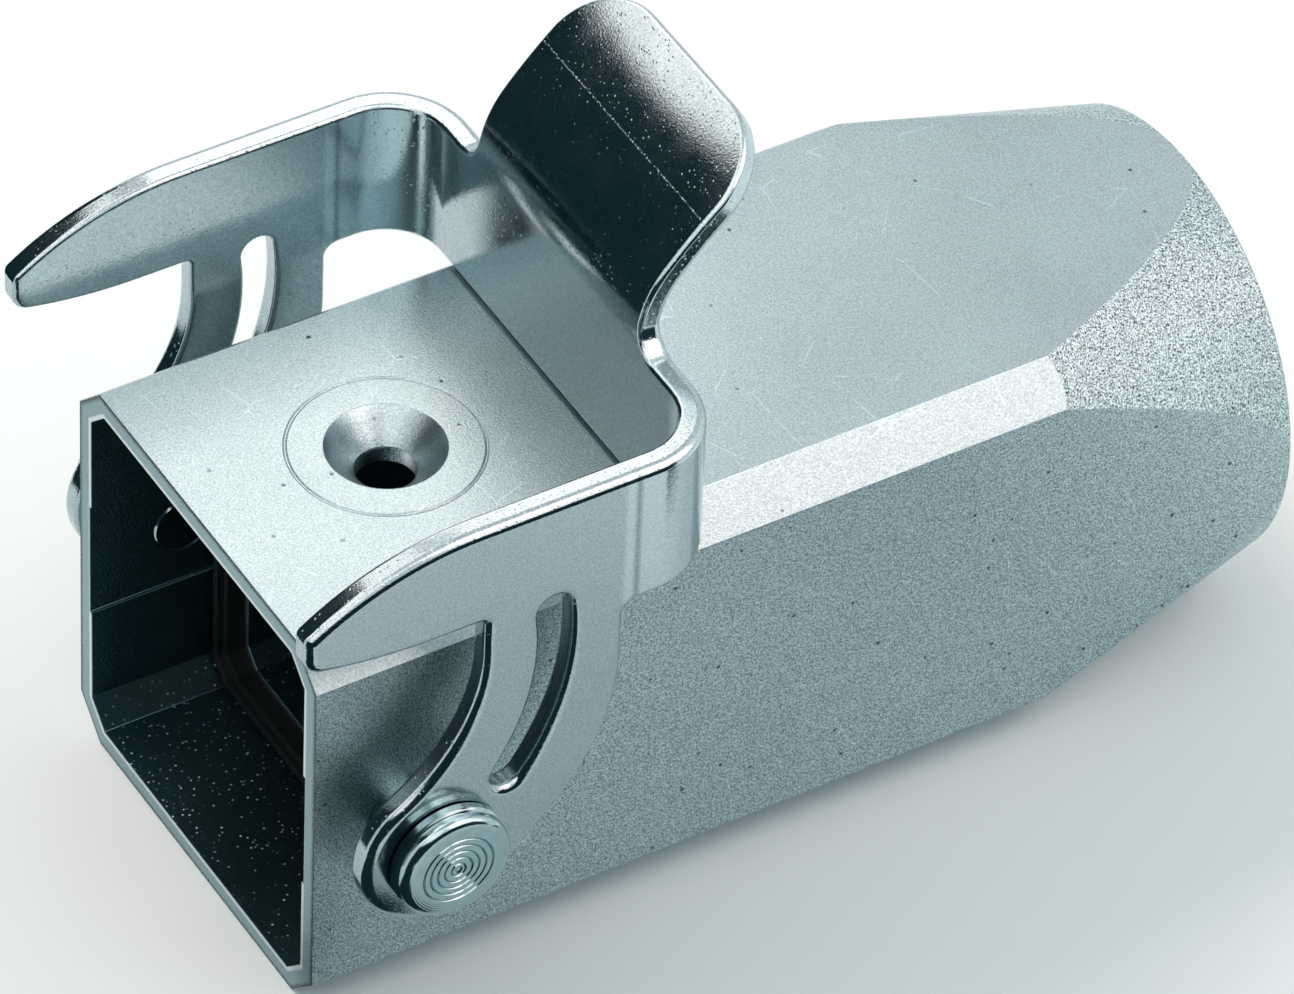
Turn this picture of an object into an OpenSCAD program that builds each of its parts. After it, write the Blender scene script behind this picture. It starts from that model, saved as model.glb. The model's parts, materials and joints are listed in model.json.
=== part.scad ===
// Coupling hood of a compact rectangular plug connector.
// A die-cast body has a square mating mouth in front and a round cable entry behind.
// A one-piece sheet-steel lever swings on two shoulder rivets and hooks the mating half.
// The origin is the centre of the mating mouth. +X runs to the cable entry, +Z up to the lever.

/* [Body] */
// Width and height of the square body
body_w = 26; // [25:0.5:30]
// Length from the mating face to the cable end
body_len = 61.7; // [56:0.1:72]
// Flat cut along the four long edges
edge_cut = 2.2; // [1.4:0.1:3]
// Length of the round taper at the cable end
taper_len = 15.4; // [12:0.1:18]
// Outer radius of the cable end
rim_r = 13.05; // [12:0.05:13.5]
// Edge break around the cable end
rim_break = 0.2; // [0.1:0.1:1]

/* [Mating mouth] */
// Wall around the mating mouth
mouth_wall = 1.3; // [1:0.1:1.6]
// Depth of the mouth down to the step that carries the seal
mouth_depth = 9; // [8.6:0.1:12]
// Width of the shallow relief along each side wall of the mouth
relief_w = 7.8; // [5:0.1:10]
// Depth of that relief
relief_d = 0.2; // [0.1:0.05:0.4]

/* [Insert cavity] */
// Wall around the cavity that holds the contact insert
cavity_wall = 2.7; // [2.4:0.1:3.4]
// Flat cut along the cavity's four corners
cavity_cut = 1; // [0.5:0.1:2]
// Distance of the insert screw behind the mouth's step
screw_back = 2.5; // [2.2:0.1:5]
// Radius of the insert screw's hole
screw_r = 1.7; // [1.2:0.05:2]
// Radius of the countersink at the top face
screw_head_r = 3.35; // [2.8:0.05:3.6]
// Radius of the fine mould-insert line around the screw hole
witness_r = 5.4; // [4.5:0.1:7]
// Width of that line
witness_w = 0.16; // [0.1:0.02:0.3]
// Depth of that line
witness_d = 0.06; // [0.04:0.01:0.1]

/* [Cable entry] */
// Nominal radius of the gland thread
thread_r = 10.0; // [9:0.05:10.2]
// Depth of the threaded entry
thread_len = 11; // [8:0.2:14]
// Lead-in bevel at the mouth of the thread
thread_lead = 0.8; // [0.4:0.1:1.4]

/* [Seal] */
// Thickness of the frame gasket
seal_t = 1.2; // [0.8:0.1:2]
// Width of the raised lip on the gasket
lip_w = 0.5; // [0.3:0.05:0.8]
// Height of that lip
lip_h = 0.5; // [0.2:0.05:0.8]
// Clearance between the gasket and the mouth's wall
seal_clear = 0.15; // [0.05:0.05:0.3]
// Setback of the gasket from the cavity's edge
seal_setback = 0.3; // [0.1:0.05:0.5]

/* [Pivot pins] */
// Distance of the pivot axis behind the mating face
pivot_x = 5.75; // [5:0.05:6.2]
// Radius of the riveted end in the housing wall
tenon_r = 1.8; // [1.4:0.05:2]
// Radial clearance of the riveted end in its hole
tenon_clear = 0.02; // [0.01:0.01:0.05]
// Radius of the shoulder that the lever turns on
journal_r = 2.4; // [2.2:0.05:2.8]
// Radius of the pin's head
head_r = 3.4; // [3.1:0.05:4]
// Height of the pin's head
head_h = 1.5; // [1.2:0.1:2]
// Radius of the flat face of the head
face_r = 2.8; // [2.2:0.05:3]
// Depth of the fine step rolled into the side of the head
head_step = 0.14; // [0.05:0.01:0.2]

/* [Lever sheet] */
// Thickness of the lever's sheet steel
sheet_t = 1.5; // [1:0.1:2]
// Gap between the side of the body and the lever's arm
arm_gap = 2.25; // [1.8:0.05:3]
// Inner radius of the two corner bends
bend_r = 3.4; // [2:0.1:5]
// Height of the band of sheet that runs round the lever
band_h = 9.05; // [8:0.05:11]
// Distance of the rear wall behind the pivot
wall_reach = 15.87; // [14.5:0.01:20]
// Gap between the resting lever and the top of the body
rest_gap = 0.1; // [0.05:0.05:0.3]
// Radial clearance of the lever on its pins
journal_clear = 0.05; // [0.02:0.01:0.1]
// Sideways play of the lever under each pin head
side_play = 0.1; // [0.05:0.05:0.2]

/* [Lever arms] */
// Radius of the round end at the pivot
arm_end_r = 4.8; // [4:0.1:6]
// Setback of the arm's front edge behind the pivot
arm_front = 2.3; // [1:0.1:3]
// Setback of the arm's rear edge behind the pivot
arm_rear = 10.65; // [9.5:0.05:11.5]
// Radius of the hollow in the arm's front edge
front_hollow_r = 10.65; // [8:0.05:13]
// Radius of the round in the arm's rear edge
rear_round_r = 13.45; // [11:0.05:15]
// Slope of the straight flank from that round down to the pivot end
flank_slope = 45.5; // [40:0.5:50]
// Inside corner between the rear edge and the band
band_corner_r = 0.8; // [0.4:0.1:1.2]
// Inside corner of the hook
hook_corner_r = 0.4; // [0.2:0.05:0.8]

/* [Lever hooks] */
// Reach of the hook's tip ahead of the pivot
hook_reach = 8.45; // [7:0.05:10]
// Height of the hook's working edge above the band's lower edge
hook_rise = 2.5; // [1.5:0.1:3.5]
// Radius of the gentle curve that lifts the working edge to the tip
hook_lift_r = 30; // [20:1:60]
// Where that curve begins, ahead of the pivot
hook_lift_x = 0.75; // [0:0.05:2]
// Radius of the curve along the back of the hook
hook_back_r = 17.2; // [15:0.1:20]
// Where that curve begins, behind the pivot
hook_back_x = 1.75; // [0.5:0.05:3]
// Upper corner of the hook's tip
tip_upper_r = 0.6; // [0.3:0.05:0.8]
// Lower corner of the hook's tip
tip_lower_r = 1.1; // [0.6:0.05:1.2]

/* [Lever slots] */
// Width of the curved slot in each arm
slot_w = 1.95; // [1.4:0.05:2.4]
// Radius of the slot's centre line
slot_r = 15.2; // [13:0.05:17]
// Setback of the slot's rearmost point behind the pivot
slot_x = 6.6; // [6:0.05:7]
// Drop of the slot's curve centre below the band's lower edge
slot_drop = 0.6; // [0:0.1:1.5]
// Sweep of the slot above its curve centre
slot_up = 7.5; // [4:0.5:10]
// Sweep of the slot below its curve centre
slot_down = 34.8; // [28:0.1:37]

/* [Thumb tab] */
// Width of the thumb tab
tab_w = 17.0; // [12:0.1:18]
// Straight rise of the tab above the band before it bends
tab_rise = 0.5; // [0.4:0.1:1.5]
// Inner radius of the tab's bend
tab_bend_r = 5.4; // [3:0.1:8]
// Angle of that bend
tab_lean = 40; // [30:0.5:50]
// Inner radius of the gentle sweep that carries on after the bend
tab_sweep_r = 30; // [20:1:60]
// Length of that sweep, up to the tab's end
tab_len = 8.2; // [5:0.1:10]
// Rounded corners of the tab's end
tab_corner_r = 4.4; // [1:0.1:5]
// Hollow corners at the tab's root
tab_root_r = 1.7; // [0.5:0.1:2]

/* [Hidden] */

$fn = 96;
// Overrun of a cut past the face that it opens
over = 1;
// How far the tab's root hollows run into the tab's sides
root_bite = 0.02;
// Number of straight runs that make up a drawn arc
arc_steps = 14;
// Number of straight runs round the arm's pivot end
end_steps = 28;

zinc = "#b9c6c8";
steel = "#a9b6ba";
pin_steel = "#b4c0c3";
rubber = "#1b1c1e";

half_w = body_w / 2;
corner_r = norm([half_w, half_w - edge_cut]);
taper_x = body_len - taper_len;
taper_slope = (corner_r - rim_r) / taper_len;

mouth_w = body_w - 2 * mouth_wall;
mouth_cut = edge_cut - mouth_wall * (2 - sqrt(2));
relief_face = mouth_w / 2 + relief_d;
cavity_w = body_w - 2 * cavity_wall;
cavity_end = body_len - thread_len;
screw_x = mouth_depth + screw_back;
sink_depth = screw_head_r - screw_r;

seal_outer = mouth_w - 2 * seal_clear;
seal_inner = cavity_w + 2 * seal_setback;
lip_mid = (seal_outer + seal_inner) / 2;

arm_in = half_w + arm_gap;
arm_out = arm_in + sheet_t;
head_seat = arm_out + side_play;

wall_x = pivot_x + wall_reach;
bend_x = wall_x - bend_r;
wall_half = arm_in - bend_r;
band_z = half_w + rest_gap;
band_top = band_z + band_h;
hook_z = band_z + hook_rise;
front_x = pivot_x + arm_front;
rear_x = pivot_x + arm_rear;
tip_x = pivot_x - hook_reach;
tab_half = tab_w / 2;
tab_bend = [wall_x + sheet_t + tab_bend_r, band_top + tab_rise];
tab_sweep = on_circle(tab_bend, tab_sweep_r - tab_bend_r, -tab_lean);
tab_end = tab_lean + tab_len / tab_sweep_r * 180 / PI;
tab_depth = tab_sweep_r + sheet_t + over;
tab_drop = tab_len + 2 * (tab_bend_r + sheet_t);

pivot = [pivot_x, 0];
flank_turn = flank_slope - 90;
front_hollow = [
    front_x - front_hollow_r,
    sqrt(pow(arm_end_r + front_hollow_r, 2) - pow(front_hollow_r - arm_front, 2))
];
rear_round = [
    rear_x - rear_round_r,
    (arm_end_r - rear_round_r - (arm_rear - rear_round_r) * cos(flank_turn)) / sin(flank_turn)
];
hook_back = [pivot_x + hook_back_x, band_top - hook_back_r];
hook_lift = [pivot_x - hook_lift_x, hook_z + hook_lift_r];
slot_centre = [pivot_x + slot_x - slot_r, band_z - slot_drop];

// Point at an angle on a circle
function on_circle(c, r, a) = c + r * [cos(a), sin(a)];

// Points along an arc from one angle to another
function arc(c, r, a, b, n = arc_steps) = [for (i = [0:n]) on_circle(c, r, a + (b - a) * i / n)];

// Direction from one point to another
function bearing(p, q) = atan2(q[1] - p[1], q[0] - p[0]);

// Centre of a corner circle that touches the upright line at the tip and lies inside a larger arc
function tip_centre(c, big, r, side) =
    [tip_x + r, c[1] + side * sqrt(pow(big - r, 2) - pow(tip_x + r - c[0], 2))];

tip_upper = tip_centre(hook_back, hook_back_r, tip_upper_r, 1);
tip_lower = tip_centre(hook_lift, hook_lift_r, tip_lower_r, -1);

// Side outline of one arm as x and z, from the corner bend round the hook, the pivot end and back
function arm_points() = concat(
    [[bend_x, band_top]],
    arc(hook_back, hook_back_r, 90, bearing(hook_back, tip_upper)),
    arc(tip_upper, tip_upper_r, bearing(hook_back, tip_upper), 180),
    arc(tip_lower, tip_lower_r, 180, 360 + bearing(hook_lift, tip_lower)),
    arc(hook_lift, hook_lift_r, 360 + bearing(hook_lift, tip_lower), 270),
    arc([front_x - hook_corner_r, hook_z - hook_corner_r], hook_corner_r, 90, 0),
    arc(front_hollow, front_hollow_r, 0, bearing(front_hollow, pivot)),
    arc(pivot, arm_end_r, bearing(pivot, front_hollow), 360 + flank_turn, end_steps),
    arc(rear_round, rear_round_r, flank_turn, 0),
    arc([rear_x + band_corner_r, band_z - band_corner_r], band_corner_r, 180, 90),
    [[bend_x, band_z]]
);

// Outline of the curved slot, with round ends
function slot_points() = concat(
    arc(slot_centre, slot_r + slot_w / 2, -slot_down, slot_up),
    arc(on_circle(slot_centre, slot_r, slot_up), slot_w / 2, slot_up, slot_up + 180),
    arc(slot_centre, slot_r - slot_w / 2, slot_up, -slot_down),
    arc(on_circle(slot_centre, slot_r, -slot_down), slot_w / 2, 180 - slot_down, 360 - slot_down)
);

// Side outline of the bent tab as x and z, from inside the rear wall to past its end
function tab_profile() =
    let (
        bend_end = 180 - tab_lean,
        sweep_end = 180 - tab_end,
        past = over * [sin(tab_end), cos(tab_end)]
    )
    concat(
        [[wall_x + sheet_t, band_top - over], [wall_x, band_top - over]],
        arc(tab_bend, tab_bend_r + sheet_t, 180, bend_end),
        arc(tab_sweep, tab_sweep_r + sheet_t, bend_end, sweep_end),
        [on_circle(tab_sweep, tab_sweep_r + sheet_t, sweep_end) + past],
        [on_circle(tab_sweep, tab_sweep_r, sweep_end) + past],
        arc(tab_sweep, tab_sweep_r, sweep_end, bend_end),
        arc(tab_bend, tab_bend_r, bend_end, 180)
    );

// Outline of the tab's root as y and z, with a hollow corner on each side
function root_points() =
    let (root_y = tab_half + tab_root_r - root_bite, root_z = band_top + tab_root_r)
    concat(
        [[-root_y, band_z], [root_y, band_z]],
        arc([root_y, root_z], tab_root_r, 270, 180),
        arc([-root_y, root_z], tab_root_r, 0, -90)
    );

// Outline of the tab across its own face, down from its end, with rounded corners there
function tab_points() = concat(
    [[-tab_half, -tab_drop], [tab_half, -tab_drop]],
    arc([tab_half - tab_corner_r, -tab_corner_r], tab_corner_r, 0, 90),
    arc([tab_corner_r - tab_half, -tab_corner_r], tab_corner_r, 90, 180)
);

// Square of the given width with its corners cut off
module cut_square(w, cut) {
    h = w / 2;
    polygon([
        [h, cut - h], [h, h - cut], [h - cut, h], [cut - h, h],
        [-h, h - cut], [-h, cut - h], [cut - h, -h], [h - cut, -h]
    ]);
}

// Places a shape drawn across the body at x, and draws it out towards the cable end
module along_x(x, len) {
    translate([x, 0, 0]) rotate([90, 0, 90]) linear_extrude(len) children();
}

// Turns a shape about the body's axis; its first coordinate is the radius, its second is x
module turned_x() {
    rotate([0, 90, 0]) rotate_extrude() children();
}

// Places a shape drawn as x and z between two planes across y
module across_y(y_low, y_high) {
    translate([0, y_high, 0]) rotate([90, 0, 0]) linear_extrude(y_high - y_low) children();
}

// What the round taper takes off the square bar
module taper_cut() {
    start = taper_x - over / taper_slope;
    outer = corner_r + 2 * over;
    turned_x() polygon([
        [corner_r + over, start],
        [rim_r + rim_break * taper_slope, body_len - rim_break],
        [rim_r - rim_break, body_len],
        [rim_r - rim_break, body_len + over],
        [outer, body_len + over],
        [outer, start]
    ]);
}

// Clearance hole and countersink for the screw that holds the insert, with the mould line round it
module screw_cut() {
    translate([screw_x, 0, 0]) {
        cylinder(r = screw_r, h = half_w + over);
        translate([0, 0, half_w - sink_depth])
            cylinder(r1 = screw_r, r2 = screw_head_r + over, h = sink_depth + over);
        translate([0, 0, half_w - witness_d])
            rotate_extrude() translate([witness_r - witness_w / 2, 0]) square([witness_w, over]);
    }
}

// Threaded entry for the cable gland, with its lead-in bevel
module cable_cut() {
    turned_x() polygon([
        [0, cavity_end - over],
        [thread_r, cavity_end - over],
        [thread_r, body_len - thread_lead],
        [thread_r + thread_lead + over, body_len + over],
        [0, body_len + over]
    ]);
}

module housing() {
    color(zinc) difference() {
        along_x(0, body_len) cut_square(body_w, edge_cut);
        taper_cut();
        along_x(-over, mouth_depth + over) cut_square(mouth_w, mouth_cut);
        along_x(-over, mouth_depth + over) square([2 * relief_face, relief_w], center = true);
        along_x(mouth_depth - over, cavity_end - mouth_depth + over) cut_square(cavity_w, cavity_cut);
        cable_cut();
        screw_cut();
        for (side = [-1, 1])
            translate([pivot_x, side * half_w, 0]) rotate([90, 0, 0])
                cylinder(r = tenon_r + tenon_clear, h = 2 * (mouth_wall + over), center = true);
    }
}

// One hooked arm, with its slot and pivot hole
module arm(y_low) {
    across_y(y_low, y_low + sheet_t) difference() {
        polygon(arm_points());
        polygon(slot_points());
        translate(pivot) circle(r = journal_r + journal_clear);
    }
}

// Quarter-round bend that joins the arm on the +Y side to the rear wall
module corner_bend() {
    translate([bend_x, wall_half, band_z])
        rotate_extrude(angle = 90) translate([bend_r, 0]) square([sheet_t, band_h]);
}

// Rear wall, with the thumb tab bent back from its upper edge
module wall_and_tab() {
    translate([wall_x, -wall_half, band_z]) cube([sheet_t, 2 * wall_half, band_h]);
    intersection() {
        across_y(-wall_half, wall_half) polygon(tab_profile());
        union() {
            along_x(wall_x - over, tab_bend_r + sheet_t + over) polygon(root_points());
            translate([tab_sweep[0], 0, tab_sweep[1]]) rotate([0, tab_end, 0])
                along_x(-tab_depth, tab_depth) polygon(tab_points());
        }
    }
}

module locking_lever() {
    color(steel) {
        arm(arm_in);
        arm(-arm_out);
        corner_bend();
        mirror([0, 1, 0]) corner_bend();
        wall_and_tab();
    }
}

// Shoulder rivet standing on the body's side, with its axis along +Z and the seat on the body at 0
module pivot_pin() {
    seat = head_seat - half_w;
    edge = head_r - face_r;
    step_z = seat + (head_h - edge) / 2;
    rotate_extrude() polygon(concat(
        [
            [0, relief_face - half_w],
            [tenon_r, relief_face - half_w],
            [tenon_r, 0],
            [journal_r, 0],
            [journal_r, seat],
            [head_r, seat],
            [head_r, step_z],
            [head_r - head_step, step_z + head_step],
            [head_r - head_step / 2, step_z + 2 * head_step]
        ],
        arc([face_r, seat + head_h - edge + head_step / 2], edge - head_step / 2, 0, 90),
        [[0, seat + head_h]]
    ));
}

module pivot_pin_left() {
    color(pin_steel) translate([pivot_x, half_w, 0]) rotate([-90, 0, 0]) pivot_pin();
}

module pivot_pin_right() {
    color(pin_steel) translate([pivot_x, -half_w, 0]) rotate([90, 0, 0]) pivot_pin();
}

// Frame gasket on the mouth's step, with a lip that meets the mating half
module mating_seal() {
    color(rubber) {
        along_x(mouth_depth - seal_t, seal_t) difference() {
            cut_square(seal_outer, mouth_cut);
            cut_square(seal_inner, cavity_cut);
        }
        along_x(mouth_depth - seal_t - lip_h, lip_h) difference() {
            cut_square(lip_mid + lip_w, mouth_cut);
            cut_square(lip_mid - lip_w, cavity_cut);
        }
    }
}

housing();
locking_lever();
pivot_pin_left();
pivot_pin_right();
mating_seal();
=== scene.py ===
"""Looks of a die-cast coupling hood with a hooked locking lever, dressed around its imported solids."""

import json
import logging
import math
from dataclasses import dataclass
from enum import Enum
from functools import partial
from typing import ClassVar

import bmesh
import bpy
from mathutils import Matrix, Vector
from mathutils.geometry import tessellate_polygon


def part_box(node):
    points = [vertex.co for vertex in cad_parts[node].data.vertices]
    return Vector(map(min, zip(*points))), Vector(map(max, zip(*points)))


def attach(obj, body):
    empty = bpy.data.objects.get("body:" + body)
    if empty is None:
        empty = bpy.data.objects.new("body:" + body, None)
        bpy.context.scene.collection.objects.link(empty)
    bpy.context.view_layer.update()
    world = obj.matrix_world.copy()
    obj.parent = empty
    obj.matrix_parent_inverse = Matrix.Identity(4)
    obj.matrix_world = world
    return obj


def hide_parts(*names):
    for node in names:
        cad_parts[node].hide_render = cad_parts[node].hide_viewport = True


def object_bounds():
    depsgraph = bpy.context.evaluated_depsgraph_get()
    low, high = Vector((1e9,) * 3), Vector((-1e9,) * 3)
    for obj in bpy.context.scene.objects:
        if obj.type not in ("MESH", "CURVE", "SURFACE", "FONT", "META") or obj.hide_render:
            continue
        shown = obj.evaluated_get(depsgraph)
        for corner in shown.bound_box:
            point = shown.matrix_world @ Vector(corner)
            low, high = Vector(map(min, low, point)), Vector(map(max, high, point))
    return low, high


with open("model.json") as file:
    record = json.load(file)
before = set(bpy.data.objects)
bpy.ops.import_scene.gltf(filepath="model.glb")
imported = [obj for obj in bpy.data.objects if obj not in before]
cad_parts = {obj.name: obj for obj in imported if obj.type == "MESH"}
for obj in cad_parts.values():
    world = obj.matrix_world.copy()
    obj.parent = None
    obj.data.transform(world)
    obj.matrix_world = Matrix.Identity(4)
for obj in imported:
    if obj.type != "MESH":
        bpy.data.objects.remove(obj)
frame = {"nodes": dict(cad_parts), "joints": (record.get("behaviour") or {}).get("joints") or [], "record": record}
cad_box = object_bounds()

MM = 0.001

log = logging.getLogger("coupling_hood")

Point = tuple[float, float, float]
Flat = tuple[float, float]
Profile = list[Flat]
Face = tuple[int, ...]
Settings = dict[str | int, object]
Links = dict[str | int, bpy.types.Node | bpy.types.NodeSocket]

# The sockets of a node that mixes colours: the second colour's share, the first colour and the second.
SHARE, UNDER, OVER = 0, 6, 7
MIX: Settings = {"data_type": "RGBA"}
TINT: Settings = {"data_type": "RGBA", "blend_type": "MULTIPLY", SHARE: 1.0}
TIMES: Settings = {"operation": "MULTIPLY"}
PLUS: Settings = {"operation": "ADD"}
TIMES_PLUS: Settings = {"operation": "MULTIPLY_ADD"}
LARGER: Settings = {"operation": "MAXIMUM"}
# Most of a noise's values lie in this span.
NOISE: Settings = {"From Min": 0.3, "From Max": 0.7}
FALLING: Settings = {"To Min": 1.0, "To Max": 0.0}
GRAINY: Settings = {"Detail": 2.0, "Roughness": 0.6}


class Body(Enum):
    """The two bodies that a piece can ride on."""

    HOOD = "hood"
    LEVER = "lever"


class Light(Enum):
    """What a studio lamp is for."""

    CARD = "shows in metal and lights nothing else"
    FLOOD = "lights the floor and other matte things, and doesn't show in metal"


class Slot(Enum):
    """Three material slot names, which no piece here takes its finish from."""

    ZINC = "die_cast_zinc"
    SHEET = "sheet_steel"
    TURNED = "turned_steel"


def linear(code: str) -> tuple[float, float, float, float]:
    """Turns an sRGB hex colour into linear red, green, blue and alpha.

    Args:
        code: the colour as a hash sign and six hex digits.

    Returns:
        The linear colour, fully opaque.
    """
    shares = [int(code[i:i + 2], 16) / 255 for i in (1, 3, 5)]
    red, green, blue = [s / 12.92 if s <= 0.04045 else ((s + 0.055) / 1.055) ** 2.4 for s in shares]
    return red, green, blue, 1.0


def per_mm(size: float) -> float:
    """Gives the texture scale at which one cell of a pattern is this many millimetres wide."""
    return 1 / (size * MM)


def add_node(
    tree: bpy.types.NodeTree, kind: str, settings: Settings | None = None, links: Links | None = None
) -> bpy.types.Node:
    """Adds a shader node, sets its properties and sockets, and links its inputs.

    Args:
        tree: the node tree that gets the node.
        kind: the node's type without its common prefix.
        settings: values by property name, socket name or socket index.
        links: sources by the name or index of the input; a node stands for the first output it uses.

    Returns:
        The new node.
    """
    node = tree.nodes.new("ShaderNode" + kind)
    values = settings or {}
    properties = [name for name in values if isinstance(name, str) and hasattr(node, name)]
    for name in properties:
        setattr(node, name, values[name])
    for name, value in values.items():
        if name not in properties:
            node.inputs[name].default_value = value
    for name, source in (links or {}).items():
        if isinstance(source, bpy.types.Node):
            source = next(output for output in source.outputs if output.enabled)
        tree.links.new(source, node.inputs[name])
    return node


def put(name: str, data: bpy.types.ID) -> bpy.types.Object:
    """Puts a mesh, a lamp or a camera into the scene.

    Args:
        name: the new object's name.
        data: what the object shows.

    Returns:
        The new object.
    """
    thing = bpy.data.objects.new(name, data)
    bpy.context.scene.collection.objects.link(thing)
    return thing


def new_object(name: str, points: list[Vector], faces: list[Face]) -> bpy.types.Object:
    """Makes a smooth-shaded mesh object and puts it into the scene.

    Args:
        name: the piece's name.
        points: the vertices in metres, in the shared frame.
        faces: the vertex numbers of each face.

    Returns:
        The new object.
    """
    mesh = bpy.data.meshes.new(name)
    mesh.from_pydata(points, [], faces)
    mesh.validate()
    mesh.shade_smooth()
    return put(name, mesh)


def crisp(piece: bpy.types.Object, turn: float) -> None:
    """Keeps the edges of a smooth piece sharp where its surface turns by more than an angle in degrees."""
    edges = piece.modifiers.new("crisp_edges", "EDGE_SPLIT")
    edges.split_angle = math.radians(turn)


def ring_sides(rings: int, around: int) -> list[Face]:
    """Lists the faces that join closed rings, one after another, with so many points around each."""
    return [(around * i + k, around * i + (k + 1) % around,
             around * (i + 1) + (k + 1) % around, around * (i + 1) + k)
            for i in range(rings - 1) for k in range(around)]


def ring_solid(rings: int, around: int) -> list[Face]:
    """Lists the faces of a closed solid made of rings: its sides and its two ends."""
    ends = [tuple(reversed(range(around))), tuple(range(around * (rings - 1), around * rings))]
    return ring_sides(rings, around) + ends


def on_circle(centre: Flat, radius: float, angle: float) -> Flat:
    """Gives the point at an angle in degrees on a circle."""
    turn = math.radians(angle)
    return centre[0] + radius * math.cos(turn), centre[1] + radius * math.sin(turn)


def arc(centre: Flat, radius: float, first: float, last: float, steps: int = 16) -> Profile:
    """Gives points along an arc from the first angle in degrees to the last, in so many straight steps."""
    return [on_circle(centre, radius, first + (last - first) * i / steps) for i in range(steps + 1)]


def bearing(here: Flat, there: Flat) -> float:
    """Gives the direction in degrees from one point to another."""
    return math.degrees(math.atan2(there[1] - here[1], there[0] - here[0]))


def leftward(loop: Profile, turn: int, doubled: float = 1e-4) -> Profile:
    """Drops a loop's doubled points and orders the rest one way round.

    Args:
        loop: the loop's points.
        turn: 1 for anticlockwise, -1 for clockwise.
        doubled: distance below which two points count as one.

    Returns:
        The points of the loop in that order.
    """
    kept = [p for i, p in enumerate(loop) if math.dist(p, loop[i - 1]) > doubled]
    area = sum(kept[i - 1][0] * p[1] - p[0] * kept[i - 1][1] for i, p in enumerate(kept))
    return kept if area * turn > 0 else kept[::-1]


def inward_normals(loop: Profile) -> Profile:
    """Finds the direction into the metal at each point of a loop that has the metal on its left.

    Args:
        loop: the loop's points.

    Returns:
        One direction for each point.
    """
    normals = []
    for i, here in enumerate(loop):
        before = Vector(here) - Vector(loop[i - 1])
        after = Vector(loop[(i + 1) % len(loop)]) - Vector(here)
        along = (before.normalized() + after.normalized()).normalized()
        normals.append((-along.y, along.x))
    return normals


def facing_in(aim: Vector, azimuth: float, elevation: float, distance: float, roll: float = 0.0) -> Matrix:
    """Finds the place from which a lamp or a camera faces a point.

    Args:
        aim: the point.
        azimuth: bearing from the point in degrees, from +X towards +Y.
        elevation: height above the horizon in degrees.
        distance: distance from the point in metres.
        roll: turn about the line of sight, in degrees.

    Returns:
        The place as a matrix.
    """
    turns = ((azimuth + 90, "Z"), (90 - elevation, "X"), (roll, "Z"))
    place = Matrix.Translation(aim)
    for angle, axis in turns:
        place = place @ Matrix.Rotation(math.radians(angle), 4, axis)
    return place @ Matrix.Translation((0, 0, distance))


@dataclass(frozen=True)
class Finish:
    """One surface finish, which builds its material.

    Attributes:
        name: the real material and how its surface was made.
        colour: the material's colour as sRGB hex.
        roughness: the middle of its roughness.
    """

    name: str
    colour: str
    roughness: float

    def material(self) -> bpy.types.Material:
        """Builds the material.

        Returns:
            A new material with the finish's nodes.
        """
        material = bpy.data.materials.new(self.name)
        material.use_nodes = True
        tree = material.node_tree
        tree.nodes.clear()
        place = add_node(tree, "TexCoord").outputs["Object"]
        add_node(tree, "OutputMaterial", links={"Surface": self.shader(tree, place)})
        return material

    def shader(self, tree: bpy.types.NodeTree, place: bpy.types.NodeSocket) -> bpy.types.Node:
        """Adds the nodes of this finish, which may use the surface point, and returns the shader."""
        raise NotImplementedError


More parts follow.
